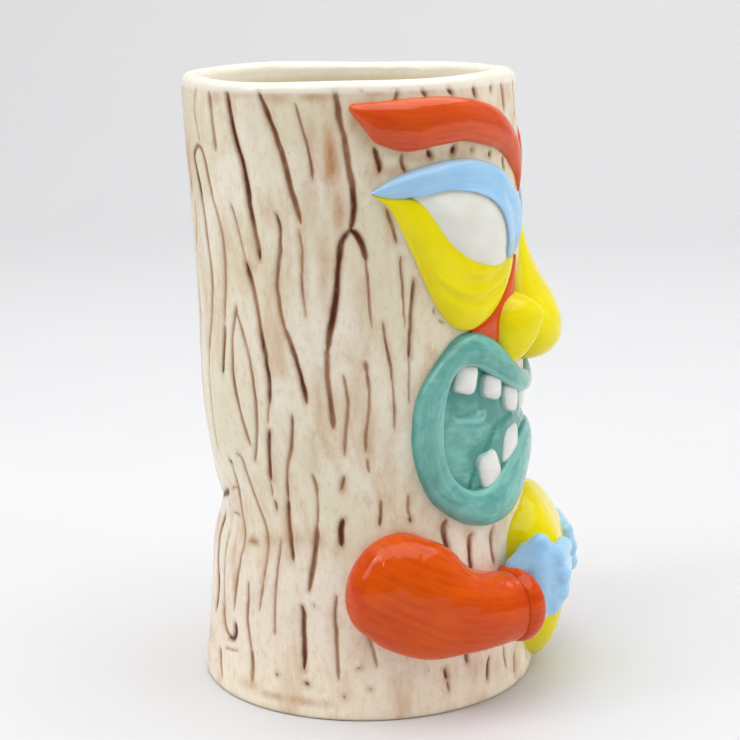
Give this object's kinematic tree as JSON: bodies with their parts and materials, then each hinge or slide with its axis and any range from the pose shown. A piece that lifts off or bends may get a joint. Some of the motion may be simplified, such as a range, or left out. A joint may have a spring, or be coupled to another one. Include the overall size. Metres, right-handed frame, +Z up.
{
  "type": "tiki mug",
  "caption": "Hollow log-shaped ceramic drinking mug with a relief face, open lipped mouth, two arms and a small board held on the front.",
  "frame": {"origin": "centre of the flat foot, on the surface that the mug stands on", "axes": "+Z up to the rim, the face looks along -Y, +X is the mug's own left side"},
  "size_m": [0.1026, 0.1009, 0.16],
  "materials": {
    "bark_glaze": "glossy clear glaze over cream clay with brown stain in the grooves",
    "orange_glaze": "glossy brushed orange-red glaze",
    "blue_glaze": "glossy baby-blue glaze",
    "yellow_glaze": "glossy lemon-yellow glaze",
    "teal_glaze": "glossy translucent teal glaze",
    "white_glaze": "glossy off-white glaze"
  },
  "bodies": {
    "root": {"log_body": "bark_glaze", "brow_right": "orange_glaze", "brow_left": "orange_glaze", "eyelid_right": "blue_glaze", "eyelid_left": "blue_glaze", "eyeball_right": "white_glaze", "eyeball_left": "white_glaze", "cheek_right": "yellow_glaze", "cheek_left": "yellow_glaze", "nose_strip_right": "orange_glaze", "nose_strip_left": "orange_glaze", "nostril_right": "yellow_glaze", "nostril_left": "yellow_glaze", "arm_right": "orange_glaze", "arm_left": "orange_glaze", "cuff_right": "orange_glaze", "cuff_left": "orange_glaze", "hand_right": "blue_glaze", "hand_left": "blue_glaze", "nose": "yellow_glaze", "mouth_panel": "teal_glaze", "upper_teeth": "white_glaze", "lower_teeth": "white_glaze", "lips": "teal_glaze", "board": "yellow_glaze"}
  },
  "joints": []
}
